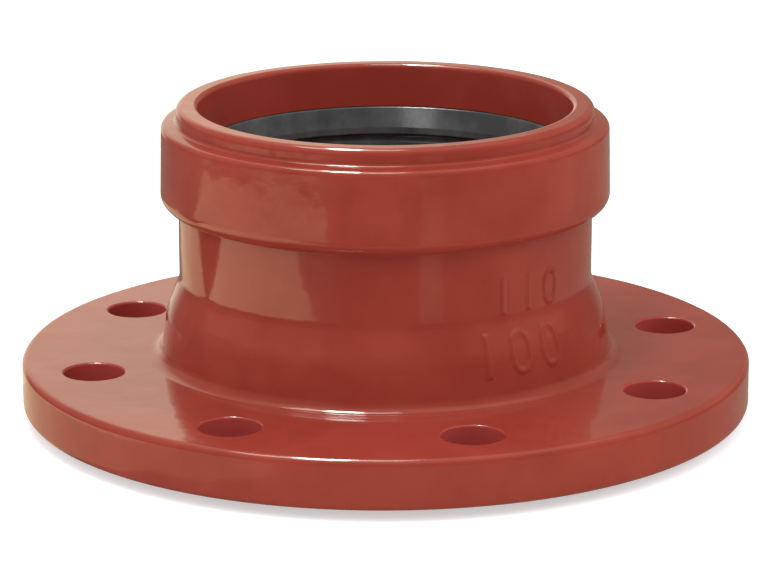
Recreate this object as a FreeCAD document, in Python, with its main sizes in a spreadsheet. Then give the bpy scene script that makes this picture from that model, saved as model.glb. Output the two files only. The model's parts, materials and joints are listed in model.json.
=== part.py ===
import FreeCAD, Part
import math
import os
from collections import namedtuple
from types import SimpleNamespace

import Sketcher

# Flanged socket for plastic pressure pipe: an iron casting with a drilled flange below and a bell
# above, and the rubber ring that seals the pipe inside the bell.
# The origin is the centre of the raised sealing face, and +Z runs up the bore to the mouth.

# Driving sizes in millimetres. A clearance, wall, depth or squeeze is measured along the radius.
SIZES = {
    # The pipe and the bore that it slides into
    "pipe_diameter": 110.0,
    "pipe_clearance": 1.5,
    "mouth_clearance": 0.8,
    "waterway_diameter": 100.0,
    "stop_height": 13.0,
    "stop_edge": 0.8,
    "mouth_length": 13.4,
    "mouth_rounding": 1.5,
    # The groove that holds the sealing ring
    "groove_floor": 67.0,
    "groove_height": 14.0,
    "groove_depth": 5.5,
    # The bell's outside, from the neck up to the collar
    "socket_wall": 5.65,
    "band_wall": 5.5,
    "band_draft": 0.5,
    "band_below_groove": 3.0,
    "band_above_groove": 7.6,
    "band_lower_rounding": 4.0,
    "band_upper_rounding": 1.6,
    "crease_fillet": 0.9,
    "shoulder_rise": 0.9,
    "shoulder_fillet": 1.2,
    "collar_wall": 6.7,
    "collar_rounding": 2.0,
    # The hub between flange and neck
    "hub_wall": 9.5,
    "hub_draft": 2.1,
    "hub_length": 14.5,
    "hub_taper": 9.0,
    "hub_fillet": 4.0,
    "hub_rounding": 15.0,
    "neck_rounding": 8.0,
    # The flange and its raised sealing face
    "flange_thickness": 15.0,
    "raised_face_height": 3.0,
    "bolt_circle_diameter": 180.0,
    "hole_diameter": 18.0,
    "hole_count": 8,
    "hole_chamfer": 0.7,
    "rim_beyond_bolts": 20.0,
    "face_inside_bolts": 12.0,
    "rim_rounding": 2.0,
    "face_edge": 0.6,
    # The sealing ring, with heights measured up from the groove's floor
    "ring_side_clearance": 0.2,
    "ring_top_clearance": 0.2,
    "ring_corner": 0.8,
    "nose_reach": 0.4,
    "nose_rounding": 0.8,
    "lip_squeeze": 1.6,
    "lip_height": 5.6,
    "lip_land": 2.0,
    "lip_rounding": 0.4,
    "bulb_squeeze": 0.4,
    "bulb_height": 1.3,
    "bulb_land": 1.6,
    "bulb_rounding": 0.7,
    "bulb_foot": 2.0,
    "undercut_depth": 3.8,
    "undercut_rounding": 0.5,
}


class Length:
    """A length or place in millimetres, kept with the formula that gives it in the sheet."""

    def __init__(self, value, formula):
        self.value = value
        self.formula = formula

    def __add__(self, other):
        return Length(self.value + other.value, f"({self.formula} + {other.formula})")

    def __sub__(self, other):
        return Length(self.value - other.value, f"({self.formula} - {other.formula})")

    def half(self):
        return Length(self.value / 2, f"{self.formula} / 2")


# One corner of an outline: its distance from the axis, its height, and its rounding or None
Corner = namedtuple("Corner", "name radius height rounding", defaults=[None])

BASE = Length(0.0, "0")
START = 1
END = 2
ORIGIN = -1
BASE_LINE = -1


def make_sheet(doc):
    """Writes the driving sizes into the sheet and returns them as named lengths."""
    sheet = doc.addObject("Spreadsheet::Sheet", "sizes")
    lengths = {}
    for row, (name, value) in enumerate(SIZES.items(), start=1):
        sheet.set(f"A{row}", name)
        sheet.set(f"B{row}", str(value))
        sheet.setAlias(f"B{row}", name)
        lengths[name] = Length(value, f"sizes.{name}")
    doc.recompute()
    return SimpleNamespace(**lengths)


def origin_feature(body, role):
    """Returns the body's own origin plane or axis with this role."""
    return next(item for item in body.Origin.OriginFeatures if item.Role == role)


def new_sketch(body, name):
    """Starts a sketch on the body's upright plane: X is the distance from the axis, Y the height."""
    sketch = body.newObject("Sketcher::SketchObject", name)
    sketch.AttachmentSupport = (origin_feature(body, "XZ_Plane"), [""])
    sketch.MapMode = "FlatFace"
    return sketch


def bind(sketch, kind, geometry, value, name):
    """Adds one sized constraint under a name of its own and ties it to the sheet."""
    index = sketch.addConstraint(Sketcher.Constraint(kind, *geometry, value.value))
    sketch.renameConstraint(index, name)
    sketch.setExpression(f"Constraints.{name}", value.formula)


def place_point(sketch, geometry, corner):
    """Ties one point of the sketch to the corner's radius and height."""
    bind(sketch, "DistanceX", (ORIGIN, START, *geometry), corner.radius, f"{corner.name}_radius")
    if corner.height is BASE:
        sketch.addConstraint(Sketcher.Constraint("PointOnObject", *geometry, BASE_LINE))
    else:
        bind(sketch, "DistanceY", (ORIGIN, START, *geometry), corner.height, f"{corner.name}_height")


def corner_arc(before, point, after, rounding):
    """Returns the arc that rounds one corner, where it begins and ends, and if it turns left."""
    to_before = (before - point).normalize()
    to_after = (after - point).normalize()
    half_angle = to_before.getAngle(to_after) / 2
    reach = rounding / math.tan(half_angle)
    begin = point + to_before * reach
    end = point + to_after * reach
    centre = point + (to_before + to_after).normalize() * (rounding / math.sin(half_angle))
    turns_left = (point - before).cross(after - point).z > 0
    first, last = (begin, end) if turns_left else (end, begin)
    first_angle = math.atan2(first.y - centre.y, first.x - centre.x)
    last_angle = math.atan2(last.y - centre.y, last.x - centre.x)
    if last_angle < first_angle:
        last_angle += 2 * math.pi
    circle = Part.Circle(centre, FreeCAD.Vector(0, 0, 1), rounding)
    return Part.ArcOfCircle(circle, first_angle, last_angle), begin, end, turns_left


def draw_outline(sketch, corners):
    """Draws a closed outline through the corners, sharp or rounded, with every size in the sheet."""
    count = len(corners)
    points = [FreeCAD.Vector(corner.radius.value, corner.height.value, 0) for corner in corners]
    begins, ends, arcs = list(points), list(points), {}
    for index, corner in enumerate(corners):
        if corner.rounding:
            neighbours = points[index - 1], points[index], points[(index + 1) % count]
            arc, begins[index], ends[index], turns_left = corner_arc(*neighbours, corner.rounding.value)
            arcs[index] = arc, turns_left
    for index in range(count):
        sketch.addGeometry(Part.LineSegment(ends[index], begins[(index + 1) % count]), False)
    for index, corner in enumerate(corners):
        line_before, line_after = (index - 1) % count, index
        if index not in arcs:
            sketch.addConstraint(Sketcher.Constraint("Coincident", line_before, END, line_after, START))
            place_point(sketch, (line_after, START), corner)
            continue
        arc, turns_left = arcs[index]
        arc_begin, arc_end = (START, END) if turns_left else (END, START)
        curve = sketch.addGeometry(arc, False)
        tip = sketch.addGeometry(Part.Point(points[index]), True)
        sketch.addConstraint([
            Sketcher.Constraint("Tangent", line_before, END, curve, arc_begin),
            Sketcher.Constraint("Tangent", curve, arc_end, line_after, START),
            Sketcher.Constraint("PointOnObject", tip, START, line_before),
            Sketcher.Constraint("PointOnObject", tip, START, line_after),
        ])
        place_point(sketch, (tip, START), corner)
        bind(sketch, "Radius", (curve,), corner.rounding, f"{corner.name}_rounding")


def casting_outline(s):
    """Returns the casting's half section, from the sealing face round the outside and down the bore."""
    pipe_radius = s.pipe_diameter.half()
    socket_radius = pipe_radius + s.pipe_clearance
    mouth_radius = pipe_radius + s.mouth_clearance
    groove_radius = socket_radius + s.groove_depth
    neck_radius = socket_radius + s.socket_wall
    hub_radius = socket_radius + s.hub_wall
    band_radius = groove_radius + s.band_wall
    collar_radius = mouth_radius + s.collar_wall
    bolt_radius = s.bolt_circle_diameter.half()
    rim_radius = bolt_radius + s.rim_beyond_bolts
    face_radius = bolt_radius - s.face_inside_bolts
    waterway_radius = s.waterway_diameter.half()

    flange_back = s.raised_face_height + s.flange_thickness
    hub_top = flange_back + s.hub_length
    neck_foot = hub_top + s.hub_taper
    crease = s.groove_floor - s.band_below_groove
    groove_top = s.groove_floor + s.groove_height
    shoulder = groove_top + s.band_above_groove
    top = groove_top + s.mouth_length
    return [
        Corner("waterway_foot", waterway_radius, BASE),
        Corner("face_edge", face_radius, BASE, s.face_edge),
        Corner("face_root", face_radius, s.raised_face_height, s.face_edge),
        Corner("rim_foot", rim_radius, s.raised_face_height, s.rim_rounding),
        Corner("rim_top", rim_radius, flange_back, s.rim_rounding),
        Corner("hub_root", hub_radius + s.hub_draft, flange_back, s.hub_fillet),
        Corner("hub_top", hub_radius, hub_top, s.hub_rounding),
        Corner("neck_foot", neck_radius, neck_foot, s.neck_rounding),
        Corner("crease", neck_radius, crease, s.crease_fillet),
        Corner("band_foot", band_radius, crease, s.band_lower_rounding),
        Corner("band_top", band_radius - s.band_draft, shoulder, s.band_upper_rounding),
        Corner("shoulder_root", collar_radius, shoulder + s.shoulder_rise, s.shoulder_fillet),
        Corner("collar_top", collar_radius, top, s.collar_rounding),
        Corner("mouth_top", mouth_radius, top, s.mouth_rounding),
        Corner("groove_lip", mouth_radius, groove_top),
        Corner("groove_top", groove_radius, groove_top),
        Corner("groove_floor", groove_radius, s.groove_floor),
        Corner("socket_top", socket_radius, s.groove_floor),
        Corner("stop_root", socket_radius, s.stop_height),
        Corner("stop_edge", waterway_radius, s.stop_height, s.stop_edge),
    ]


def hole_outline(s):
    """Returns half a bolt hole's section, which runs past both faces and is chamfered at the back."""
    axis = s.bolt_circle_diameter.half()
    wall = axis + s.hole_diameter.half()
    mouth = wall + s.hole_chamfer + s.hole_chamfer
    back = s.raised_face_height + s.flange_thickness
    return [
        Corner("axis_foot", axis, BASE),
        Corner("wall_foot", wall, BASE),
        Corner("wall_top", wall, back - s.hole_chamfer),
        Corner("mouth_top", mouth, back + s.hole_chamfer),
        Corner("axis_top", axis, back + s.hole_chamfer),
    ]


def ring_outline(s):
    """Returns the sealing ring's half section: a heel in the groove, a lip and a bulb on the pipe."""
    pipe_radius = s.pipe_diameter.half()
    mouth_radius = pipe_radius + s.mouth_clearance
    heel_radius = pipe_radius + s.pipe_clearance + s.groove_depth - s.ring_side_clearance
    lip_radius = pipe_radius - s.lip_squeeze
    bulb_radius = pipe_radius - s.bulb_squeeze
    top = s.groove_height - s.ring_top_clearance
    lip_top = s.lip_height + s.lip_land
    bulb_top = s.bulb_height + s.bulb_land
    undercut_radius = lip_radius + s.undercut_depth
    return [
        Corner("foot_inside", bulb_radius + s.bulb_foot, BASE, s.undercut_rounding),
        Corner("heel_foot", heel_radius, BASE, s.ring_corner),
        Corner("heel_top", heel_radius, top, s.ring_corner),
        Corner("nose_top", mouth_radius - s.nose_reach, top, s.nose_rounding),
        Corner("lip_top", lip_radius, lip_top, s.lip_rounding),
        Corner("lip_foot", lip_radius, s.lip_height, s.lip_rounding),
        Corner("undercut", undercut_radius, (s.lip_height + bulb_top).half(), s.undercut_rounding),
        Corner("bulb_top", bulb_radius, bulb_top, s.bulb_rounding),
        Corner("bulb_foot", bulb_radius, s.bulb_height, s.bulb_rounding),
    ]


def new_body(doc, label):
    """Starts one sub-part under its own label."""
    body = doc.addObject("PartDesign::Body", label)
    body.Label = label
    return body


def revolve(body, sketch, kind, name, axis):
    """Turns a section into a solid of revolution, or cuts one, and returns the feature."""
    feature = body.newObject(kind, name)
    feature.Profile = sketch
    feature.ReferenceAxis = (sketch, [axis])
    feature.Angle = 360.0
    return feature


def make_casting(doc, s):
    """Builds the iron casting: the turned form, and the bolt holes round the flange."""
    body = new_body(doc, "socket_casting")
    section = new_sketch(body, "casting_section")
    draw_outline(section, casting_outline(s))
    form = revolve(body, section, "PartDesign::Revolution", "casting_form", "V_Axis")
    doc.recompute()

    # The holes straddle the centre lines, so the first one stands half a pitch from the X axis
    hole_section = new_sketch(body, "hole_section")
    half_pitch = 180.0 / s.hole_count.value
    turned = FreeCAD.Rotation(FreeCAD.Vector(0, 1, 0), half_pitch)
    hole_section.AttachmentOffset = FreeCAD.Placement(FreeCAD.Vector(), turned)
    hole_section.setExpression(".AttachmentOffset.Rotation.Angle", "180 / sizes.hole_count")
    draw_outline(hole_section, hole_outline(s))
    bolt_radius = s.bolt_circle_diameter.half()
    hole_axis = Part.LineSegment(
        FreeCAD.Vector(bolt_radius.value, 0, 0),
        FreeCAD.Vector(bolt_radius.value, s.flange_thickness.value, 0),
    )
    axis_line = hole_section.addGeometry(hole_axis, True)
    hole_section.addConstraint([
        Sketcher.Constraint("Vertical", axis_line),
        Sketcher.Constraint("PointOnObject", axis_line, START, BASE_LINE),
    ])
    bind(hole_section, "DistanceX", (ORIGIN, START, axis_line, START), bolt_radius, "axis_place")
    bind(hole_section, "DistanceY", (axis_line, START, axis_line, END), s.flange_thickness, "axis_reach")
    hole = revolve(body, hole_section, "PartDesign::Groove", "bolt_hole", "Axis0")
    doc.recompute()

    holes = body.newObject("PartDesign::PolarPattern", "bolt_holes")
    holes.Originals = [hole]
    holes.Axis = (section, ["V_Axis"])
    holes.Angle = 360.0
    holes.setExpression("Occurrences", s.hole_count.formula)
    body.Tip = holes
    doc.recompute()
    one_hole = form.Shape.Volume - hole.Shape.Volume
    all_holes = form.Shape.Volume - holes.Shape.Volume
    if one_hole <= 0 or abs(all_holes - one_hole * s.hole_count.value) > one_hole / 1000:
        raise RuntimeError("the bolt holes do not cut the flange as they should")
    return body


def make_ring(doc, s):
    """Builds the rubber sealing ring and seats it on the groove's floor."""
    body = new_body(doc, "seal_ring")
    section = new_sketch(body, "ring_section")
    draw_outline(section, ring_outline(s))
    revolve(body, section, "PartDesign::Revolution", "ring_form", "V_Axis")
    body.Placement = FreeCAD.Placement(FreeCAD.Vector(0, 0, s.groove_floor.value), FreeCAD.Rotation())
    body.setExpression(".Placement.Base.z", s.groove_floor.formula)
    doc.recompute()
    return body


def check_document(doc, bodies):
    """Stops the build if a feature failed or a sub-part has no sound solid."""
    for item in doc.Objects:
        if "Invalid" in item.State or "Error" in item.State:
            raise RuntimeError(f"{item.Name} failed: {item.State}")
    for body in bodies:
        shape = body.Shape
        if shape.isNull() or not shape.isValid() or len(shape.Solids) != 1:
            raise RuntimeError(f"{body.Label} has no sound solid")


def main():
    """Builds both sub-parts, checks them and writes one file for each."""
    os.makedirs("parts", exist_ok=True)
    doc = FreeCAD.newDocument("flanged_socket")
    s = make_sheet(doc)
    bodies = [make_casting(doc, s), make_ring(doc, s)]
    doc.recompute()
    check_document(doc, bodies)
    for body in bodies:
        body.Shape.exportStep(f"parts/{body.Label}.step")
        box = body.Shape.BoundBox
        print(f"{body.Label}: {body.Shape.Volume / 1000:.1f} cm3, from z {box.ZMin:.2f} to {box.ZMax:.2f}")


main()
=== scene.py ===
# Looks of a flanged socket: the coated casting with its cast numerals, the rubber sealing ring, and
# the studio round them. Lengths are in metres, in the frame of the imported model.

import json
import logging
import math
from dataclasses import dataclass, field
from enum import Enum
from typing import Any

import bpy
from mathutils import Euler, Matrix, Vector


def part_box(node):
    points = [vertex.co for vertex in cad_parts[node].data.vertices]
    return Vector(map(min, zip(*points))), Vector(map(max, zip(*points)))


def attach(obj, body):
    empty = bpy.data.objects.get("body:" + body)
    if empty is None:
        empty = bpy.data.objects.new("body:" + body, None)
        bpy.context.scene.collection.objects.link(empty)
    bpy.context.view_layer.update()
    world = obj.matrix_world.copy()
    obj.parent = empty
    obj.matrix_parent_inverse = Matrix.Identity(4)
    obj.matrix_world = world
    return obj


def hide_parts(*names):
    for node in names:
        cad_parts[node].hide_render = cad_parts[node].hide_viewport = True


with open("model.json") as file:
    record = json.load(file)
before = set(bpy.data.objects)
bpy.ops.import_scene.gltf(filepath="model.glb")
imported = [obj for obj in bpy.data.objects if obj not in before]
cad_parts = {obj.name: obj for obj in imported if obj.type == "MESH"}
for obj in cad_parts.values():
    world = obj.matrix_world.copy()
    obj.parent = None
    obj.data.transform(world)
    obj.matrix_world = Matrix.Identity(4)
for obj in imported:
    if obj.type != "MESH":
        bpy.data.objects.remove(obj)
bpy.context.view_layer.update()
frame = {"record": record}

log = logging.getLogger("flanged_socket")
MILLIMETRE = 0.001
CREASE_ANGLE = math.radians(35)
WARM_WHITE = (1.0, 1.0, 0.92)

# How far a direction rises or falls: below the first it counts as level, above the second as steep.
LEVEL, STEEP = math.sin(math.radians(9)), math.sin(math.radians(12))

Socket = bpy.types.NodeSocket
Colour = tuple[float, float, float]


class Slot(Enum):
    """The record's material slots."""

    COATING = "red_coating"
    RUBBER = "seal_rubber"


class Graph:
    """A node tree under construction, with short calls to add nodes and wire them."""

    def __init__(self, tree: bpy.types.NodeTree) -> None:
        """Keeps the tree that the nodes go into."""
        self.tree = tree

    def add(self, kind: str, inputs: dict[Any, Any] | None = None, **settings: Any) -> bpy.types.Node:
        """Adds one node.

        Args:
            kind: the node's type name.
            inputs: values or sockets for its inputs, by socket name or number.
            settings: the node's own properties.

        Returns:
            The new node.
        """
        node = self.tree.nodes.new(kind)
        for name, value in settings.items():
            setattr(node, name, value)
        for name, value in (inputs or {}).items():
            if isinstance(value, Socket):
                self.tree.links.new(value, node.inputs[name])
            else:
                node.inputs[name].default_value = value
        return node

    def make(self, kind: str, inputs: dict[Any, Any] | None = None, **settings: Any) -> Socket:
        """Adds one node and returns its first output."""
        return self.add(kind, inputs, **settings).outputs[0]

    def math(self, operation: str, first: Any, second: Any = 0.0, third: Any = 0.0) -> Socket:
        """Adds one Math node and returns its result."""
        return self.make("ShaderNodeMath", {0: first, 1: second, 2: third}, operation=operation)

    def ramp(self, value: Any, low: Any, high: Any, to_low: Any = 0.0, to_high: Any = 1.0) -> Socket:
        """Adds a smooth Map Range node and returns its result."""
        inputs = {"Value": value, "From Min": low, "From Max": high, "To Min": to_low, "To Max": to_high}
        return self.make("ShaderNodeMapRange", inputs, interpolation_type="SMOOTHSTEP")

    def blend(self, factor: Any, first: Any, second: Any) -> Socket:
        """Adds a Mix node for numbers and returns its result."""
        return self.make("ShaderNodeMix", {0: factor, 2: first, 3: second}, data_type="FLOAT")

    def mix_colour(self, factor: Any, first: Any, second: Any) -> Socket:
        """Adds a Mix node for two colours, each four numbers or a socket, and returns its result."""
        return self.add("ShaderNodeMix", {0: factor, 6: first, 7: second}, data_type="RGBA").outputs[2]

    def dot(self, first: Any, second: Any) -> Socket:
        """Adds a dot product and returns its result."""
        node = self.add("ShaderNodeVectorMath", {0: first, 1: second}, operation="DOT_PRODUCT")
        return node.outputs["Value"]

    def split(self, vector: Socket) -> Any:
        """Adds a node that splits a vector and returns its outputs X, Y and Z."""
        return self.add("ShaderNodeSeparateXYZ", {0: vector}).outputs

    def noise(self, place: Any, scale: float, detail: float, roughness: float) -> Socket:
        """Adds a Noise Texture and returns its grey value."""
        inputs = {"Vector": place, "Scale": scale, "Detail": detail, "Roughness": roughness}
        return self.make("ShaderNodeTexNoise", inputs)

    def bump(self, height: Socket, strength: float, distance: float, normal: Socket | None = None) -> Socket:
        """Adds a Bump node, on top of another normal if one is given, and returns its normal."""
        inputs = {"Height": height, "Strength": strength, "Distance": distance}
        if normal is not None:
            inputs["Normal"] = normal
        return self.make("ShaderNodeBump", inputs)

    def stops(self, value: Any, stops: list[tuple[float, float]]) -> Socket:
        """Adds a ramp of grey stops, each a place and a brightness, and returns its result."""
        node = self.add("ShaderNodeValToRGB", {"Fac": value})
        elements = node.color_ramp.elements
        while len(elements) < len(stops):
            elements.new(1.0)
        for element, (place, grey) in zip(elements, stops):
            element.position = place
            element.color = (grey, grey, grey, 1.0)
        return node.outputs["Color"]

    def surface(self, shader: Socket) -> None:
        """Ends a material's tree with this shader."""
        self.join(shader, self.add("ShaderNodeOutputMaterial").inputs["Surface"])

    def join(self, first: Socket, second: Socket) -> None:
        """Links an output to an input."""
        self.tree.links.new(first, second)


class GeometryGraph(Graph):
    """A Geometry Nodes tree with named inputs and one geometry output."""

    def __init__(self, name: str, inputs: dict[str, str]) -> None:
        """Makes the tree with its sockets.

        Args:
            name: the tree's name.
            inputs: each input's name with its kind, after the geometry.
        """
        super().__init__(bpy.data.node_groups.new(name, "GeometryNodeTree"))
        sockets = [(label, "INPUT", kind) for label, kind in {"Geometry": "Geometry", **inputs}.items()]
        for label, way, kind in (*sockets, ("Geometry", "OUTPUT", "Geometry")):
            self.tree.interface.new_socket(label, in_out=way, socket_type=f"NodeSocket{kind}")
        self.given = self.add("NodeGroupInput").outputs
        self.result = self.add("NodeGroupOutput").inputs["Geometry"]

    def vector(self, operation: str, first: Any, second: Any = None, scale: Any = None) -> Socket:
        """Adds one Vector Math node and returns its vector."""
        inputs = {0: first}
        if second is not None:
            inputs[1] = second
        if scale is not None:
            inputs["Scale"] = scale
        return self.make("ShaderNodeVectorMath", inputs, operation=operation)

    def finished(self, mesh: Socket, finish: Socket) -> Socket:
        """Shades a mesh smooth apart from its sharp edges and gives it its material."""
        angle = self.make("GeometryNodeInputMeshEdgeAngle")
        sharp = self.make("FunctionNodeCompare", {0: angle, 1: CREASE_ANGLE}, operation="GREATER_THAN")
        smooth = self.make("GeometryNodeSetShadeSmooth", {"Geometry": mesh}, domain="FACE")
        creases = {"Geometry": smooth, "Selection": sharp, "Shade Smooth": False}
        creased = self.make("GeometryNodeSetShadeSmooth", creases, domain="EDGE")
        real = self.make("GeometryNodeRealizeInstances", {"Geometry": creased})
        return self.make("GeometryNodeSetMaterial", {"Geometry": real, "Material": finish})

    def modify(self, target: bpy.types.Object, values: dict[str, Any]) -> None:
        """Puts the tree on an object as a modifier with these input values."""
        modifier = target.modifiers.new(self.tree.name, "NODES")
        modifier.node_group = self.tree
        for item in self.tree.interface.items_tree:
            if item.in_out == "INPUT" and item.name in values:
                modifier[item.identifier] = values[item.name]


def new_material(name: str) -> tuple[bpy.types.Material, Graph]:
    """Makes an empty node material and the graph to fill it with."""
    material = bpy.data.materials.new(name)
    material.use_nodes = True
    material.node_tree.nodes.clear()
    return material, Graph(material.node_tree)


def new_piece(name: str, mesh: bpy.types.Mesh) -> bpy.types.Object:
    """Puts a mesh into the scene as an object at the origin."""
    piece = bpy.data.objects.new(name, mesh)
    bpy.context.scene.collection.objects.link(piece)
    return piece


def settle(piece: bpy.types.Object) -> bpy.types.Object:
    """Turns what a piece's modifiers make into its own plain mesh, and removes them."""
    depsgraph = bpy.context.evaluated_depsgraph_get()
    mesh = bpy.data.meshes.new_from_object(piece.evaluated_get(depsgraph), depsgraph=depsgraph)
    piece.modifiers.clear()
    piece.data = mesh
    mesh.name = piece.name
    return piece


@dataclass(frozen=True)
class Corner:
    """One corner of a half section: radius, height and rounding."""

    radius: float
    height: float
    rounding: float = 0.0


@dataclass(frozen=True)
class Section:
    """A closed half section whose corners are rounded and whose straight runs are divided."""

    corners: list[Corner]
    arc_step: float = math.radians(7.5)
    run_step: float = 3.5 * MILLIMETRE
    guard: float = 0.25 * MILLIMETRE

    def _arc(self, index: int) -> list[Vector]:
        """Returns the points that round one corner, or the corner alone where it is sharp."""
        corner = self.corners[index]
        before = self.corners[index - 1]
        after = self.corners[(index + 1) % len(self.corners)]
        point = Vector((corner.radius, corner.height))
        if not corner.rounding:
            return [point]
        to_before = (Vector((before.radius, before.height)) - point).normalized()
        to_after = (Vector((after.radius, after.height)) - point).normalized()
        half_angle = to_before.angle(to_after) / 2
        centre = point + (to_before + to_after).normalized() * (corner.rounding / math.sin(half_angle))
        begin = point + to_before * (corner.rounding / math.tan(half_angle)) - centre
        end = point + to_after * (corner.rounding / math.tan(half_angle)) - centre
        sweep = begin.angle(end)
        steps = max(2, math.ceil(sweep / self.arc_step))
        return [
            centre + (
                begin * math.sin(sweep * (1 - k / steps)) + end * math.sin(sweep * k / steps)
            ) / math.sin(sweep)
            for k in range(steps + 1)
        ]

    def points(self) -> list[Vector]:
        """Returns the outline's points as radius and height, in order."""
        arcs = [self._arc(index) for index in range(len(self.corners))]
        outline: list[Vector] = []
        for index, arc in enumerate(arcs):
            outline += arc
            start, stop = arc[-1], arcs[(index + 1) % len(arcs)][0]
            length = (stop - start).length
            if length < 4 * self.guard:
                continue
            inner = max(1, round((length - 2 * self.guard) / self.run_step))
            shares = [self.guard + (length - 2 * self.guard) * k / inner for k in range(inner + 1)]
            outline += [start.lerp(stop, share / length) for share in shares]
        return outline


@dataclass
class Turning:
    """Geometry Nodes that turn a half section into a closed solid of revolution."""

    path_radius: float = 80 * MILLIMETRE
    segments: int = 256
    counts_as_outside: tuple[float, float] = (-0.3, 0.1)
    graph: GeometryGraph = field(init=False)

    def __post_init__(self) -> None:
        """Builds the tree once, for every turned piece."""
        self.graph = GeometryGraph(
            "turned_form",
            {
                "Path Radius": "Float",
                "Segments": "Int",
                "Unevenness": "Float",
                "Patch Size": "Float",
                "Even Below": "Float",
                "Finish": "Material",
            },
        )
        graph, given = self.graph, self.graph.given
        size = {"Resolution": given["Segments"], "Radius": given["Path Radius"]}
        path = graph.make("GeometryNodeCurvePrimitiveCircle", size, mode="RADIUS")
        profile = graph.make("GeometryNodeMeshToCurve", {"Mesh": given["Geometry"]})
        form = graph.make("GeometryNodeCurveToMesh", {"Curve": path, "Profile Curve": profile})
        uneven = self._unevenness(graph.make("GeometryNodeFlipFaces", {"Mesh": form}))
        graph.join(graph.finished(uneven, given["Finish"]), graph.result)

    def _unevenness(self, mesh: Socket) -> Socket:
        """Moves the outward and upward faces slightly in and out, as on a sand casting."""
        graph, given = self.graph, self.graph.given
        place = graph.make("GeometryNodeInputPosition")
        normal = graph.make("GeometryNodeInputNormal")
        height = graph.split(place)["Z"]
        flat = graph.vector("MULTIPLY", place, (1.0, 1.0, 0.0))
        outward = graph.dot(normal, graph.vector("NORMALIZE", flat))
        outside = graph.ramp(outward, *self.counts_as_outside)
        cast = graph.ramp(height, given["Even Below"], graph.math("MULTIPLY", given["Even Below"], 2.0))
        scaled = graph.vector("SCALE", place, scale=graph.math("DIVIDE", 1.0, given["Patch Size"]))
        noise = graph.noise(scaled, scale=1.0, detail=2.0, roughness=0.4)
        swing = graph.math("MULTIPLY", graph.math("SUBTRACT", noise, 0.5), 2.0)
        shift = graph.math("MULTIPLY", swing, given["Unevenness"])
        shift = graph.math("MULTIPLY", shift, graph.math("MULTIPLY", outside, cast))
        offset = graph.vector("SCALE", normal, scale=shift)
        return graph.make("GeometryNodeSetPosition", {"Geometry": mesh, "Offset": offset})

    def turn(
        self, name: str, section: Section, finish: bpy.types.Material, **uneven: float
    ) -> bpy.types.Object:
        """Turns one section.

        Args:
            name: the piece's name.
            section: its half section.
            finish: its material.
            uneven: unevenness, patch_size and even_below, for a cast surface.

        Returns:
            The piece, with the tree still live on it.
        """
        points = [(point.x - self.path_radius, -point.y, 0.0) for point in section.points()]
        edges = [(index, (index + 1) % len(points)) for index in range(len(points))]
        mesh = bpy.data.meshes.new(name)
        mesh.from_pydata(points, edges, [])
        piece = new_piece(name, mesh)
        values = {
            "Path Radius": self.path_radius,
            "Segments": self.segments,
            "Unevenness": uneven.get("unevenness", 0.0),
            "Patch Size": uneven.get("patch_size", 1.0),
            "Even Below": uneven.get("even_below", 1.0),
            "Finish": finish,
        }
        self.graph.modify(piece, values)
        return piece


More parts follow.
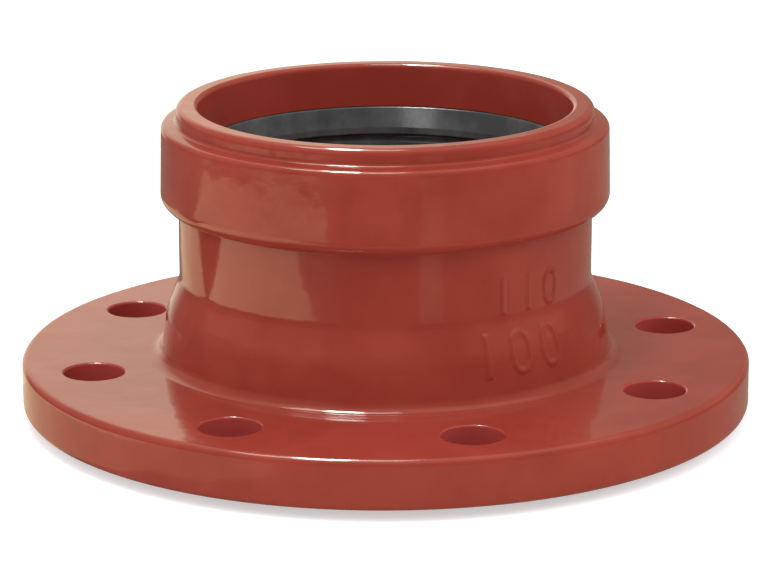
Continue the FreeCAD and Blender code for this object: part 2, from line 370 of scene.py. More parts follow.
@dataclass
class SocketCasting:
    """The iron casting: flange, hub, neck, band, shoulder, collar and the stepped bore."""

    pipe_radius: float = 55.0 * MILLIMETRE
    pipe_clearance: float = 1.5 * MILLIMETRE
    mouth_clearance: float = 0.8 * MILLIMETRE
    waterway_radius: float = 50.0 * MILLIMETRE
    stop_height: float = 13.0 * MILLIMETRE
    stop_edge: float = 0.8 * MILLIMETRE
    mouth_rounding: float = 1.5 * MILLIMETRE
    groove_floor: float = 67.0 * MILLIMETRE
    groove_height: float = 14.0 * MILLIMETRE
    groove_depth: float = 5.5 * MILLIMETRE
    socket_wall: float = 5.65 * MILLIMETRE
    band_wall: float = 5.5 * MILLIMETRE
    band_draft: float = 0.5 * MILLIMETRE
    band_below_groove: float = 3.0 * MILLIMETRE
    band_above_groove: float = 7.6 * MILLIMETRE
    band_lower_rounding: float = 4.0 * MILLIMETRE
    band_upper_rounding: float = 1.6 * MILLIMETRE
    crease_fillet: float = 0.9 * MILLIMETRE
    shoulder_rise: float = 0.9 * MILLIMETRE
    shoulder_fillet: float = 1.2 * MILLIMETRE
    collar_wall: float = 6.7 * MILLIMETRE
    collar_rounding: float = 2.0 * MILLIMETRE
    hub_wall: float = 9.5 * MILLIMETRE
    hub_draft: float = 2.1 * MILLIMETRE
    hub_length: float = 14.5 * MILLIMETRE
    hub_taper: float = 9.0 * MILLIMETRE
    hub_fillet: float = 4.0 * MILLIMETRE
    hub_rounding: float = 15.0 * MILLIMETRE
    neck_rounding: float = 8.0 * MILLIMETRE
    flange_thickness: float = 15.0 * MILLIMETRE
    raised_face_height: float = 3.0 * MILLIMETRE
    face_inside_bolts: float = 12.0 * MILLIMETRE
    rim_rounding: float = 2.0 * MILLIMETRE
    face_edge: float = 0.6 * MILLIMETRE
    hole_rounding: float = 0.7 * MILLIMETRE
    unevenness: float = 0.12 * MILLIMETRE
    patch_size: float = 22.0 * MILLIMETRE

    def __post_init__(self) -> None:
        """Reads the outer radius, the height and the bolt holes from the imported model."""
        bolts = next(m for m in frame["record"]["mounts"] if m["kind"] == "bolt_pattern")["dims"]
        self.bolt_radius = bolts["pcd_mm"] / 2 * MILLIMETRE
        self.hole_radius = bolts["hole_r_mm"] * MILLIMETRE
        self.hole_count = bolts["count"]
        lowest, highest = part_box("socket_casting")
        self.rim_radius = (highest.x - lowest.x) / 2
        self.top = highest.z
        self.flange_back = self.raised_face_height + self.flange_thickness

    def section(self) -> Section:
        """Returns the half section, from the sealing face round the outside and down the bore."""
        socket_radius = self.pipe_radius + self.pipe_clearance
        mouth_radius = self.pipe_radius + self.mouth_clearance
        groove_radius = socket_radius + self.groove_depth
        neck_radius = socket_radius + self.socket_wall
        hub_radius = socket_radius + self.hub_wall
        band_radius = groove_radius + self.band_wall
        collar_radius = mouth_radius + self.collar_wall
        face_radius = self.bolt_radius - self.face_inside_bolts
        hub_top = self.flange_back + self.hub_length
        crease = self.groove_floor - self.band_below_groove
        groove_top = self.groove_floor + self.groove_height
        shoulder = groove_top + self.band_above_groove
        return Section([
            Corner(self.waterway_radius, 0.0),
            Corner(face_radius, 0.0, self.face_edge),
            Corner(face_radius, self.raised_face_height, self.face_edge),
            Corner(self.rim_radius, self.raised_face_height, self.rim_rounding),
            Corner(self.rim_radius, self.flange_back, self.rim_rounding),
            Corner(hub_radius + self.hub_draft, self.flange_back, self.hub_fillet),
            Corner(hub_radius, hub_top, self.hub_rounding),
            Corner(neck_radius, hub_top + self.hub_taper, self.neck_rounding),
            Corner(neck_radius, crease, self.crease_fillet),
            Corner(band_radius, crease, self.band_lower_rounding),
            Corner(band_radius - self.band_draft, shoulder, self.band_upper_rounding),
            Corner(collar_radius, shoulder + self.shoulder_rise, self.shoulder_fillet),
            Corner(collar_radius, self.top, self.collar_rounding),
            Corner(mouth_radius, self.top, self.mouth_rounding),
            Corner(mouth_radius, groove_top),
            Corner(groove_radius, groove_top),
            Corner(groove_radius, self.groove_floor),
            Corner(socket_radius, self.groove_floor),
            Corner(socket_radius, self.stop_height),
            Corner(self.waterway_radius, self.stop_height, self.stop_edge),
        ])

    def build(self, turning: Turning, finish: bpy.types.Material) -> bpy.types.Object:
        """Builds the casting with its bolt holes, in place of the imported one.

        Args:
            turning: the tree that turns its section.
            finish: the coating.

        Returns:
            The finished piece.
        """
        piece = turning.turn(
            "coated_casting",
            self.section(),
            finish,
            unevenness=self.unevenness,
            patch_size=self.patch_size,
            even_below=self.raised_face_height + self.face_edge,
        )
        BoltHoles(self).cut(piece, finish)
        weights = piece.modifiers.new("even_shading", "WEIGHTED_NORMAL")
        weights.keep_sharp = True
        settle(piece)
        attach(piece, "root")
        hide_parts("socket_casting")
        log.info("casting: %d faces, %d bolt holes", len(piece.data.polygons), self.hole_count)
        return piece


@dataclass
class BoltHoles:
    """The ring of bolt holes, each with a small rounded rim at the back, cut by Geometry Nodes."""

    casting: SocketCasting
    sides: int = 72
    overrun: float = 1.5 * MILLIMETRE
    rim_steps: int = 5

    def _cutter_path(self) -> bpy.types.Object:
        """Makes the cutter's centre line, with the cutter's reach at each point."""
        casting = self.casting
        rounding, radius = casting.hole_rounding, casting.hole_radius
        rim = [
            (rounding * (1 - math.cos(turn)), radius + rounding * (1 - math.sin(turn)))
            for turn in (math.pi / 2 * k / self.rim_steps for k in range(self.rim_steps + 1))
        ]
        low, high = casting.raised_face_height, casting.flange_back
        stations = [(low - self.overrun, radius)]
        stations += [(high - depth, reach) for depth, reach in reversed(rim)]
        stations += [(high + self.overrun, radius + rounding)]
        mesh = bpy.data.meshes.new("hole_cutter")
        points = [(0.0, 0.0, height) for height, _ in stations]
        mesh.from_pydata(points, [(k, k + 1) for k in range(len(points) - 1)], [])
        reach = mesh.attributes.new("reach", "FLOAT", "POINT")
        reach.data.foreach_set("value", [value for _, value in stations])
        return new_piece("hole_cutter", mesh)

    def _tree(self) -> GeometryGraph:
        """Builds the tree that sets the cutters round the bolt circle and cuts with them."""
        graph = GeometryGraph(
            "bolt_holes",
            {
                "Cutter Path": "Object",
                "Sides": "Int",
                "Hole Count": "Int",
                "Bolt Radius": "Float",
                "Finish": "Material",
            },
        )
        given = graph.given
        source = graph.add("GeometryNodeObjectInfo", {"Object": given["Cutter Path"]})
        path = graph.make("GeometryNodeMeshToCurve", {"Mesh": source.outputs["Geometry"]})
        reach = graph.add("GeometryNodeInputNamedAttribute", {"Name": "reach"}, data_type="FLOAT")
        circle = graph.make("GeometryNodeCurvePrimitiveCircle", {"Resolution": given["Sides"], "Radius": 1.0})
        cutter = graph.make(
            "GeometryNodeCurveToMesh",
            {"Curve": path, "Profile Curve": circle, "Scale": reach.outputs["Attribute"], "Fill Caps": True},
        )
        places = {"Vertices": given["Hole Count"], "Radius": given["Bolt Radius"]}
        ring = graph.make("GeometryNodeMeshCircle", places)
        half_pitch = graph.math("DIVIDE", math.pi, given["Hole Count"])
        turn = graph.make("ShaderNodeCombineXYZ", {"Z": half_pitch})
        straddling = graph.make("GeometryNodeTransform", {"Geometry": ring, "Rotation": turn})
        cutters = graph.make("GeometryNodeInstanceOnPoints", {"Points": straddling, "Instance": cutter})
        real = graph.make("GeometryNodeRealizeInstances", {"Geometry": cutters})
        cut = graph.make(
            "GeometryNodeMeshBoolean",
            {"Mesh 1": given["Geometry"], "Mesh 2": real},
            operation="DIFFERENCE",
            solver="EXACT",
        )
        graph.join(graph.finished(cut, given["Finish"]), graph.result)
        return graph

    def cut(self, piece: bpy.types.Object, finish: bpy.types.Material) -> None:
        """Cuts the holes through a piece, which loses its live modifiers."""
        path = self._cutter_path()
        values = {
            "Cutter Path": path,
            "Sides": self.sides,
            "Hole Count": self.casting.hole_count,
            "Bolt Radius": self.casting.bolt_radius,
            "Finish": finish,
        }
        self._tree().modify(piece, values)
        settle(piece)
        bpy.data.objects.remove(path)


@dataclass(frozen=True)
class CastNumerals:
    """A row of raised numerals with soft edges, cast on the outside of the bell."""

    words: str
    angle: float
    height: float
    size: float
    spacing: float = 1.25
    relief: float = 0.6 * MILLIMETRE
    edge: float = 0.8 * MILLIMETRE
    sink: float = 0.05 * MILLIMETRE
    step: float = 0.28 * MILLIMETRE
    ray_from: float = 100 * MILLIMETRE
    wrap_radius: float = 64 * MILLIMETRE
    nearly_nothing: float = 0.004 * MILLIMETRE
    inside_reach: float = 0.01 * MILLIMETRE

    def _tree(self) -> GeometryGraph:
        """Builds the tree: a fine patch, raised inside the characters and wrapped on the casting."""
        graph = GeometryGraph(
            "cast_numerals",
            {
                "Words": "String",
                "Size": "Float",
                "Spacing": "Float",
                "Step": "Float",
                "Relief": "Float",
                "Edge": "Float",
                "Sink": "Float",
                "Angle": "Float",
                "Height": "Float",
                "Wrap Radius": "Float",
                "Ray From": "Float",
                "Surface": "Object",
                "Finish": "Material",
            },
        )
        given = graph.given
        text = graph.make(
            "GeometryNodeStringToCurves",
            {"String": given["Words"], "Size": given["Size"], "Character Spacing": given["Spacing"]},
            align_x="CENTER",
            align_y="MIDDLE",
        )
        curves = graph.make("GeometryNodeRealizeInstances", {"Geometry": text})
        filled = graph.make("GeometryNodeFillCurve", {"Curve": curves})
        outline = graph.make("GeometryNodeCurveToMesh", {"Curve": curves})
        box = graph.add("GeometryNodeBoundBox", {"Geometry": filled}).outputs
        centre = graph.vector("SCALE", graph.vector("ADD", box["Min"], box["Max"]), scale=0.5)
        span = graph.split(graph.vector("SUBTRACT", box["Max"], box["Min"]))
        margin = graph.math("MULTIPLY", given["Edge"], 3.0)
        width = graph.math("ADD", span["X"], margin)
        height = graph.math("ADD", span["Y"], margin)
        patch = graph.make(
            "GeometryNodeMeshGrid",
            {
                "Size X": width,
                "Size Y": height,
                "Vertices X": graph.math("DIVIDE", width, given["Step"]),
                "Vertices Y": graph.math("DIVIDE", height, given["Step"]),
            },
        )
        placed = graph.make("GeometryNodeSetPosition", {"Geometry": patch, "Offset": centre})
        inside = graph.add("GeometryNodeProximity", {0: filled}, target_element="FACES").outputs
        border = graph.add("GeometryNodeProximity", {0: outline}, target_element="EDGES").outputs
        is_out = graph.math("GREATER_THAN", inside["Distance"], self.inside_reach)
        side = graph.math("MULTIPLY_ADD", is_out, 2.0, -1.0)
        outness = graph.math("MULTIPLY", border["Distance"], side)
        inner_edge = graph.math("MULTIPLY", given["Edge"], -1.0)
        rise = graph.ramp(outness, inner_edge, given["Edge"], given["Relief"], 0.0)
        risen = graph.make(
            "GeometryNodeStoreNamedAttribute",
            {"Geometry": placed, "Name": "rise", "Value": rise},
            data_type="FLOAT",
            domain="POINT",
        )
        stored = graph.add("GeometryNodeInputNamedAttribute", {"Name": "rise"}, data_type="FLOAT")
        kept = stored.outputs["Attribute"]
        flat = graph.make("FunctionNodeCompare", {0: kept, 1: self.nearly_nothing}, operation="LESS_THAN")
        cropped = graph.make(
            "GeometryNodeDeleteGeometry", {"Geometry": risen, "Selection": flat}, domain="FACE"
        )
        graph.join(graph.finished(self._wrapped(graph, cropped, kept), given["Finish"]), graph.result)
        return graph

    def _wrapped(self, graph: GeometryGraph, patch: Socket, rise: Socket) -> Socket:
        """Adds the nodes that lay the flat patch on the casting's outside."""
        given = graph.given
        place = graph.split(graph.make("GeometryNodeInputPosition"))
        turn = graph.math("DIVIDE", place["X"], given["Wrap Radius"])
        turn = graph.math("ADD", turn, given["Angle"])
        across = {"X": graph.math("COSINE", turn), "Y": graph.math("SINE", turn)}
        outward = graph.make("ShaderNodeCombineXYZ", across)
        level = graph.make("ShaderNodeCombineXYZ", {"Z": graph.math("ADD", place["Y"], given["Height"])})
        start = graph.vector("ADD", graph.vector("SCALE", outward, scale=given["Ray From"]), level)
        surface = graph.add("GeometryNodeObjectInfo", {"Object": given["Surface"]})
        hit = graph.add(
            "GeometryNodeRaycast",
            {
                "Target Geometry": surface.outputs["Geometry"],
                "Source Position": start,
                "Ray Direction": graph.vector("SCALE", outward, scale=-1.0),
                "Ray Length": given["Ray From"],
            },
        ).outputs
        proud = graph.math("SUBTRACT", rise, given["Sink"])
        offset = graph.vector("SCALE", hit["Hit Normal"], scale=proud)
        position = graph.vector("ADD", hit["Hit Position"], offset)
        return graph.make("GeometryNodeSetPosition", {"Geometry": patch, "Position": position})

    def build(self, surface: bpy.types.Object, finish: bpy.types.Material) -> bpy.types.Object:
        """Raises the numerals on a surface.

        Args:
            surface: the finished casting.
            finish: the coating.

        Returns:
            The finished piece.
        """
        piece = new_piece(f"cast_numerals_{self.words}", bpy.data.meshes.new("numerals"))
        values = {
            "Words": self.words,
            "Size": self.size,
            "Spacing": self.spacing,
            "Step": self.step,
            "Relief": self.relief,
            "Edge": self.edge,
            "Sink": self.sink,
            "Angle": self.angle,
            "Height": self.height,
            "Wrap Radius": self.wrap_radius,
            "Ray From": self.ray_from,
            "Surface": surface,
            "Finish": finish,
        }
        self._tree().modify(piece, values)
        settle(piece)
        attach(piece, "root")
        log.info("numerals %s: %d faces", self.words, len(piece.data.polygons))
        return piece


@dataclass
class SealRing:
    """The rubber ring in the groove: heel, nose, lip and bulb, with heights from the groove's floor."""

    casting: SocketCasting
    side_clearance: float = 0.2 * MILLIMETRE
    top_clearance: float = 0.2 * MILLIMETRE
    corner: float = 0.8 * MILLIMETRE
    nose_reach: float = 0.4 * MILLIMETRE
    nose_rounding: float = 0.8 * MILLIMETRE
    lip_squeeze: float = 1.6 * MILLIMETRE
    lip_height: float = 5.6 * MILLIMETRE
    lip_land: float = 2.0 * MILLIMETRE
    lip_rounding: float = 0.4 * MILLIMETRE
    bulb_squeeze: float = 0.4 * MILLIMETRE
    bulb_height: float = 1.3 * MILLIMETRE
    bulb_land: float = 1.6 * MILLIMETRE
    bulb_rounding: float = 0.7 * MILLIMETRE
    bulb_foot: float = 2.0 * MILLIMETRE
    undercut_depth: float = 3.8 * MILLIMETRE
    undercut_rounding: float = 0.5 * MILLIMETRE

    def section(self) -> Section:
        """Returns the ring's half section in its seat."""
        casting = self.casting
        floor = casting.groove_floor
        mouth_radius = casting.pipe_radius + casting.mouth_clearance
        groove_radius = casting.pipe_radius + casting.pipe_clearance + casting.groove_depth
        heel_radius = groove_radius - self.side_clearance
        lip_radius = casting.pipe_radius - self.lip_squeeze
        bulb_radius = casting.pipe_radius - self.bulb_squeeze
        top = floor + casting.groove_height - self.top_clearance
        lip_foot = floor + self.lip_height
        bulb_top = floor + self.bulb_height + self.bulb_land
        return Section([
            Corner(bulb_radius + self.bulb_foot, floor, self.undercut_rounding),
            Corner(heel_radius, floor, self.corner),
            Corner(heel_radius, top, self.corner),
            Corner(mouth_radius - self.nose_reach, top, self.nose_rounding),
            Corner(lip_radius, lip_foot + self.lip_land, self.lip_rounding),
            Corner(lip_radius, lip_foot, self.lip_rounding),
            Corner(lip_radius + self.undercut_depth, (lip_foot + bulb_top) / 2, self.undercut_rounding),
            Corner(bulb_radius, bulb_top, self.bulb_rounding),
            Corner(bulb_radius, floor + self.bulb_height, self.bulb_rounding),
        ])

    def build(self, turning: Turning, finish: bpy.types.Material) -> bpy.types.Object:
        """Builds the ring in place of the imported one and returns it."""
        piece = turning.turn("rubber_seal_ring", self.section(), finish)
        settle(piece)
        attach(piece, "root")
        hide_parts("seal_ring")
        log.info("sealing ring: %d faces", len(piece.data.polygons))
        return piece


@dataclass(frozen=True)
class RedCoating:
    """A glossy red-brown coating, brushed and run a little thick over sand-cast iron.

    In the bolt holes it is painted lighter: painted light that lifts the shade on the hole walls.
    """

    casting: SocketCasting
    deep: Colour = (0.300, 0.038, 0.025)
    warm: Colour = (0.350, 0.049, 0.033)
    # Painted light: a lighter red for the bolt-hole walls, standing in for light that reaches into the holes.
    painted_hole_light: Colour = (0.430, 0.062, 0.050)
    gloss_low: float = 0.06
    gloss_high: float = 0.12
    wave_depth: float = 0.6 * MILLIMETRE
    peel_depth: float = 0.06 * MILLIMETRE
    hole_edge: tuple[float, float] = (0.1 * MILLIMETRE, 0.5 * MILLIMETRE)

    def _in_holes(self, graph: Graph, place: Socket) -> Socket:
        """Adds the nodes that give 1 on the walls of the bolt holes and 0 elsewhere."""
        part = graph.split(place)
        pitch = 2 * math.pi / self.casting.hole_count
        angle = graph.math("ARCTAN2", part["Y"], part["X"])
        middle = graph.math("ADD", graph.math("SNAP", angle, pitch), pitch / 2)
        squares = []
        for axis, turned in (("X", "COSINE"), ("Y", "SINE")):
            hole = graph.math("MULTIPLY", graph.math(turned, middle), self.casting.bolt_radius)
            aside = graph.math("ABSOLUTE", graph.math("SUBTRACT", part[axis], hole))
            squares.append(graph.math("POWER", aside, 2.0))
        distance = graph.math("SQRT", graph.math("ADD", *squares))
        begin, end = (self.casting.hole_radius + reach for reach in self.hole_edge)
        return graph.ramp(distance, begin, end, 1.0, 0.0)

    def build(self) -> bpy.types.Material:
        """Builds the material from object coordinates."""
        material, graph = new_material("red_coating")
        place = graph.add("ShaderNodeTexCoord").outputs["Object"]
        broad = graph.ramp(graph.noise(place, scale=38.0, detail=5.0, roughness=0.6), 0.32, 0.68)
        tint = graph.mix_colour(broad, (*self.deep, 1.0), (*self.warm, 1.0))
        # Painted light: the bolt-hole walls get the lighter red, which lifts the shade inside the holes.
        tint = graph.mix_colour(self._in_holes(graph, place), tint, (*self.painted_hole_light, 1.0))
        grain = graph.noise(place, scale=260.0, detail=4.0, roughness=0.55)
        gloss = graph.ramp(grain, 0.35, 0.7, self.gloss_low, self.gloss_high)
        waves = graph.noise(place, scale=75.0, detail=2.0, roughness=0.45)
        wavy = graph.bump(waves, strength=0.35, distance=self.wave_depth)
        peel = graph.noise(place, scale=620.0, detail=2.0, roughness=0.5)
        normal = graph.bump(peel, strength=0.25, distance=self.peel_depth, normal=wavy)
        inputs = {"Base Color": tint, "Roughness": gloss, "IOR": 1.5, "Normal": normal}
        graph.surface(graph.make("ShaderNodeBsdfPrincipled", inputs))
        return material


@dataclass(frozen=True)
class SealRubber:
    """Moulded rubber, dark grey and slightly shiny, with a faint bloom."""

    dark: Colour = (0.056, 0.062, 0.066)
    bloom: Colour = (0.104, 0.110, 0.112)
    gloss_low: float = 0.16
    gloss_high: float = 0.26
    grain_depth: float = 0.08 * MILLIMETRE

    def build(self) -> bpy.types.Material:
        """Builds the material from object coordinates."""
        material, graph = new_material("seal_rubber")
        place = graph.add("ShaderNodeTexCoord").outputs["Object"]
        cloud = graph.ramp(graph.noise(place, scale=70.0, detail=5.0, roughness=0.6), 0.35, 0.7)
        tint = graph.mix_colour(cloud, (*self.dark, 1.0), (*self.bloom, 1.0))
        grain = graph.noise(place, scale=900.0, detail=3.0, roughness=0.6)
        gloss = graph.ramp(grain, 0.3, 0.7, self.gloss_low, self.gloss_high)
        normal = graph.bump(grain, strength=0.3, distance=self.grain_depth)
        inputs = {"Base Color": tint, "Roughness": gloss, "IOR": 1.5, "Normal": normal}
        graph.surface(graph.make("ShaderNodeBsdfPrincipled", inputs))
        return material


# What the gloss mirrors above and below the horizon: direction in degrees, 0 towards the camera and
# rising to its right, and brightness where white is 1.
WALL_PANES = (
    (-180.0, 0.90),
    (-176.0, 1.15),
    (-157.0, 1.10),
    (-140.0, 0.42),
    (-90.0, 0.26),
    (-36.0, 0.24),
    (-20.0, 0.10),
    (17.0, 0.08),
    (55.0, 0.14),
    (105.0, 0.36),
    (170.0, 0.25),
    (177.0, 0.32),
    (180.0, 0.90),
)
FLOOR_PANES = (
    (-180.0, 0.26),
    (-140.0, 0.22),
    (-105.0, 0.28),
    (-60.0, 0.38),
    (-36.0, 0.38),
    (-20.0, 0.10),
    (17.0, 0.08),
    (20.0, 0.42),
    (29.0, 0.42),
    (33.0, 0.14),
    (58.0, 0.16),
    (75.0, 0.30),
    (105.0, 0.40),
    (130.0, 0.31),
    (180.0, 0.31),
)


@dataclass(frozen=True)
class Room:
    """What the glossy coating mirrors round the object, by direction.

    The bright panes stand to the left and behind. The side of the camera is dim, and dimmest level
    with the object. Near the top a ceiling takes over.
    """

    turn: float
    panes: tuple[tuple[float, float], ...]
    ceiling: float = 0.9
    ceiling_from: tuple[float, float] = (math.sin(math.radians(42)), math.sin(math.radians(62)))
    tint: Colour = (1.0, 0.92, 0.70)
    level_share: float = 0.35
    level_behind: tuple[float, float] = (-0.92, -0.77)

    def brightness(self, graph: Graph, direction: Socket) -> Socket:
        """Adds the nodes that give the brightness of the room in one direction."""
        sine, cosine = math.sin(self.turn), math.cos(self.turn)
        right = graph.dot(direction, (cosine, sine, 0.0))
        near = graph.dot(direction, (sine, -cosine, 0.0))
        angle = graph.math("ARCTAN2", right, near)
        share = graph.math("MULTIPLY_ADD", angle, 0.5 / math.pi, 0.5)
        walls = graph.stops(share, [(degrees / 360 + 0.5, value) for degrees, value in self.panes])
        up = graph.dot(direction, (0.0, 0.0, 1.0))
        steep = graph.ramp(graph.math("ABSOLUTE", up), LEVEL, STEEP)
        in_front = graph.blend(steep, self.level_share, 1.0)
        kept = graph.blend(graph.ramp(near, *self.level_behind), 1.0, in_front)
        walls = graph.math("MULTIPLY", walls, kept)
        return graph.blend(graph.ramp(up, *self.ceiling_from), walls, self.ceiling)


@dataclass(frozen=True)
class PaleFloor:
    """A white floor that shows white to the camera and keeps the object's shadow."""

    colour: Colour = (0.82, 0.82, 0.82)
    lift: float = 0.5

    def build(self) -> bpy.types.Material:
        """Builds the material."""
        material, graph = new_material("pale_floor")
        rays = graph.add("ShaderNodeLightPath").outputs
        seen = graph.math("MAXIMUM", rays["Is Camera Ray"], rays["Is Transmission Ray"])
        matt = graph.make("ShaderNodeBsdfDiffuse", {"Color": (*self.colour, 1.0)})
        lift = graph.make("ShaderNodeEmission", {"Strength": graph.math("MULTIPLY", seen, self.lift)})
        graph.surface(graph.make("ShaderNodeAddShader", {0: matt, 1: lift}))
        return material


@dataclass(frozen=True)
class Card:
    """A bright or dark card that lies on the floor and shows only in the glossy coating.

    It fades out for whoever looks along it. Its corners are in metres from the object's axis, X to the
    camera's right and Y away from it.
    """

    name: str
    corners: tuple[tuple[float, float], ...]
    brightness: float
    tint: Colour = (1.0, 0.82, 0.52)
    lift: float = 0.3 * MILLIMETRE

    def lay(self, studio: "Studio") -> None:
        """Lays the card on the floor."""
        material, graph = new_material(self.name)
        facing = graph.add("ShaderNodeLayerWeight", {"Blend": 0.5}).outputs["Facing"]
        faded = graph.ramp(facing, 1.0 - STEEP, 1.0 - LEVEL)
        glow = graph.make("ShaderNodeEmission", {"Color": (*self.tint, 1.0), "Strength": self.brightness})
        clear = graph.make("ShaderNodeBsdfTransparent")
        graph.surface(graph.make("ShaderNodeMixShader", {0: faded, 1: glow, 2: clear}))
        mesh = bpy.data.meshes.new(self.name)
        corners = [studio.view_place(x, y, self.lift) for x, y in self.corners]
        mesh.from_pydata(corners, [], [tuple(range(len(corners)))])
        mesh.materials.append(material)
        card = new_piece(self.name, mesh)
        card.visible_camera = card.visible_diffuse = card.visible_shadow = False
        card.visible_transmission = False


@dataclass(frozen=True)
class Lamp:
    """One soft rectangular lamp, aimed at the object, with its brightness where white is 1.

    Its place is in metres from the object's axis, X to the camera's right, Y away from it and Z up.
    """

    name: str
    place: tuple[float, float, float]
    size: tuple[float, float]
    brightness: float
    tint: Colour = (1.0, 1.0, 1.0)
    lights: bool = True
    mirrored: bool = True
    aim_height: float = 50 * MILLIMETRE

    def hang(self, studio: "Studio", only_on: bpy.types.Object | None = None) -> None:
        """Hangs the lamp in the studio and aims it at the object, for one piece alone if asked."""
        light = bpy.data.lights.new(self.name, "AREA")
        light.shape = "RECTANGLE"
        light.size, light.size_y = self.size
        light.energy = self.brightness * math.pi * self.size[0] * self.size[1]
        light.color = self.tint
        lamp = bpy.data.objects.new(self.name, light)
        lamp.location = studio.view_place(*self.place)
        aim = Vector((0.0, 0.0, self.aim_height)) - Vector(studio.view_place(*self.place))
        lamp.rotation_euler = aim.to_track_quat("-Z", "Y").to_euler()
        lamp.visible_diffuse = self.lights
        lamp.visible_glossy = self.mirrored
        if only_on is not None:
            lit = bpy.data.collections.new(self.name)
            lit.objects.link(only_on)
            lamp.light_linking.receiver_collection = lit
        bpy.context.scene.collection.objects.link(lamp)


CARDS = (
    Card(
        "long_card",
        (
            (-0.095, -0.165), (-0.24, -0.238), (-0.305, -0.15), (-0.324, -0.048),
            (-0.30, 0.01), (-0.195, 0.030), (-0.155, 0.02),
        ),
        1.7,
    ),
    Card(
        "rim_card",
        ((-0.047, -0.139), (-0.095, -0.165), (-0.155, 0.02), (-0.11, 0.02), (-0.09, -0.09)),
        0.85,
    ),
    Card(
        "far_card",
        (
            (-0.15, -0.30), (-0.24, -0.238), (-0.305, -0.15), (-0.324, -0.048), (-0.315, 0.08),
            (-0.44, 0.06), (-0.43, -0.15), (-0.33, -0.33), (-0.20, -0.39),
        ),
        1.25,
    ),
    Card(
        "dark_card",
        ((-0.189, 0.046), (-0.195, 0.030), (-0.30, 0.01), (-0.30, 0.11), (-0.237, 0.105)),
        0.08,
    ),
    Card(
        "side_card",
        ((-0.11, 0.02), (-0.155, 0.02), (-0.189, 0.046), (-0.237, 0.105), (-0.275, 0.16), (-0.14, 0.24)),
        1.05,
    ),
    Card(
        "near_card",
        (
            (-0.05, -0.10), (-0.06, -0.175), (0.0, -0.195), (0.08, -0.175),
            (0.165, -0.10), (0.10, -0.06), (0.06, -0.095), (0.0, -0.112),
        ),
        0.42,
    ),
)
LAMPS = (
    Lamp("overhead_lamp", (-0.20, -0.30, 1.30), (0.40, 0.50), 5.8, mirrored=False),
    Lamp("wide_lamp", (-0.20, 0.03, 1.20), (0.50, 0.62), 6.0, WARM_WHITE, lights=False),
    Lamp("core_lamp", (-0.19, 0.03, 1.10), (0.62, 0.16), 36.0, WARM_WHITE, lights=False),
    Lamp("side_lamp", (1.10, 0.10, 0.60), (0.50, 0.50), 1.8, mirrored=False),
)
RING_WINDOW = Lamp(
    "low_window", (-0.38, -0.90, 0.48), (0.34, 0.34), 3.2, lights=False, aim_height=80 * MILLIMETRE
)


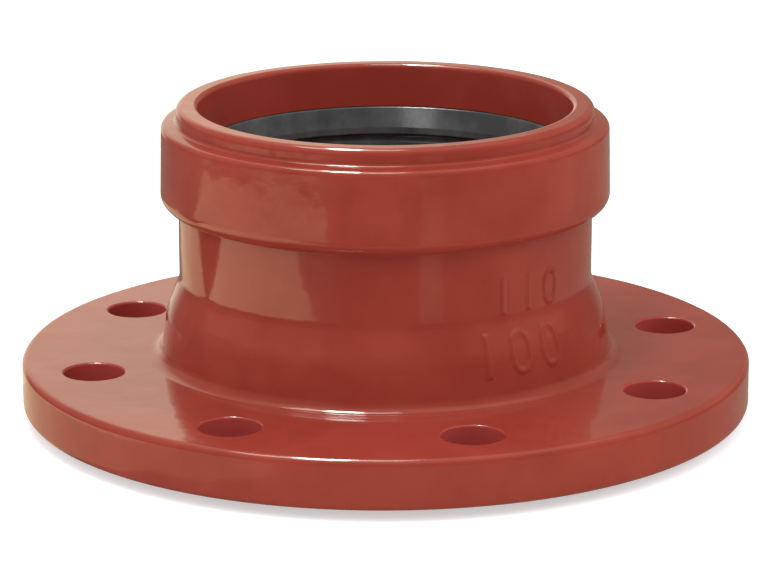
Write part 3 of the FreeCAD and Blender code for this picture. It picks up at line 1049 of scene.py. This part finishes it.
@dataclass
class Studio:
    """Floor, lamps, surroundings and the camera at the photograph's angle."""

    turn: float = math.radians(6.8)
    distance: float = 1.0304
    height: float = 0.3203
    pitch: float = math.radians(15.38)
    roll: float = math.radians(-0.16)
    focal_pixels: float = 3531.6
    image_width: float = 768.0
    axis_pixel: float = 385.5
    floor_half_size: float = 3.0
    sky: float = 0.94
    side_light: float = 0.28
    front_shade: float = 0.54
    front_lift: float = 0.16
    front_band: tuple[float, float] = (0.15, 0.55)

    def __post_init__(self) -> None:
        """Makes what the coating mirrors in the walls and in the floor."""
        self.wall_room = Room(self.turn, WALL_PANES)
        self.floor_room = Room(self.turn, FLOOR_PANES)

    def view_place(self, x: float, y: float, z: float) -> tuple[float, float, float]:
        """Turns a place given from the camera's side (X right, Y away) into the frame's axes."""
        cosine, sine = math.cos(self.turn), math.sin(self.turn)
        return x * cosine - y * sine, x * sine + y * cosine, z

    def place_camera(self) -> None:
        """Sets the camera that the photograph was fitted with."""
        data = bpy.data.cameras.new("camera")
        data.sensor_width = 36.0
        data.lens = self.focal_pixels / self.image_width * data.sensor_width
        data.shift_x = (self.image_width / 2 - self.axis_pixel) / self.image_width
        camera = bpy.data.objects.new("camera", data)
        camera.location = self.view_place(0.0, -self.distance, self.height)
        aim = Euler((math.pi / 2 - self.pitch, 0.0, self.turn)).to_matrix()
        camera.rotation_euler = (aim @ Matrix.Rotation(self.roll, 3, "Z")).to_euler()
        bpy.context.scene.collection.objects.link(camera)
        bpy.context.scene.camera = camera

    def lay_floor(self) -> None:
        """Lays the floor where the part stands. The coating mirrors the surroundings through it."""
        reach = self.floor_half_size
        mesh = bpy.data.meshes.new("floor")
        corners = [(-reach, -reach, 0.0), (reach, -reach, 0.0), (reach, reach, 0.0), (-reach, reach, 0.0)]
        mesh.from_pydata(corners, [], [(0, 1, 2, 3)])
        mesh.materials.append(PaleFloor().build())
        floor = new_piece("floor", mesh)
        floor.visible_glossy = False
        for card in CARDS:
            card.lay(self)

    def light(self, ring: bpy.types.Object) -> None:
        """Hangs the lamps, one of them for the ring alone, and lights the surroundings."""
        for lamp in LAMPS:
            lamp.hang(self)
        RING_WINDOW.hang(self, only_on=ring)
        world = bpy.data.worlds.new("surroundings")
        world.use_nodes = True
        world.node_tree.nodes.clear()
        graph = Graph(world.node_tree)
        direction = graph.add("ShaderNodeTexCoord").outputs["Generated"]
        rays = graph.add("ShaderNodeLightPath").outputs
        seen = graph.math("MAXIMUM", rays["Is Camera Ray"], rays["Is Transmission Ray"])
        side = graph.math("ABSOLUTE", graph.dot(direction, self.view_place(1.0, 0.0, 0.0)))
        front = graph.math("MAXIMUM", graph.dot(direction, self.view_place(0.0, -1.0, 0.0)), 0.0)
        soft = graph.math("MULTIPLY_ADD", side, self.side_light, self.sky)
        up = graph.dot(direction, (0.0, 0.0, 1.0))
        shade = graph.ramp(up, *self.front_band, -self.front_shade, self.front_lift)
        soft = graph.math("MULTIPLY_ADD", front, shade, soft)
        above = graph.ramp(up, -STEEP, -LEVEL)
        floor_and_walls = [room.brightness(graph, direction) for room in (self.floor_room, self.wall_room)]
        shown = graph.blend(rays["Is Glossy Ray"], soft, graph.blend(above, *floor_and_walls))
        strength = graph.blend(seen, shown, 1.0)
        tint = graph.mix_colour(rays["Is Glossy Ray"], (1.0, 1.0, 1.0, 1.0), (*self.wall_room.tint, 1.0))
        shader = graph.make("ShaderNodeBackground", {"Color": tint, "Strength": strength})
        graph.join(shader, graph.add("ShaderNodeOutputWorld").inputs["Surface"])
        bpy.context.scene.world = world


def main() -> None:
    """Builds the pieces and the studio in order."""
    logging.basicConfig(level=logging.INFO, format="%(name)s: %(message)s")
    bpy.context.scene.view_settings.view_transform = "Standard"
    turning = Turning()
    casting = SocketCasting()
    coating = RedCoating(casting).build()
    coated = casting.build(turning, coating)
    for numerals in (
        CastNumerals("110", math.radians(-41.6), 48.0 * MILLIMETRE, 15.5 * MILLIMETRE),
        CastNumerals("100", math.radians(-46.5), 31.5 * MILLIMETRE, 18.0 * MILLIMETRE),
    ):
        numerals.build(coated, coating)
    ring = SealRing(casting).build(turning, SealRubber().build())
    studio = Studio()
    studio.place_camera()
    studio.lay_floor()
    studio.light(ring)


if __name__ == "__main__":
    main()
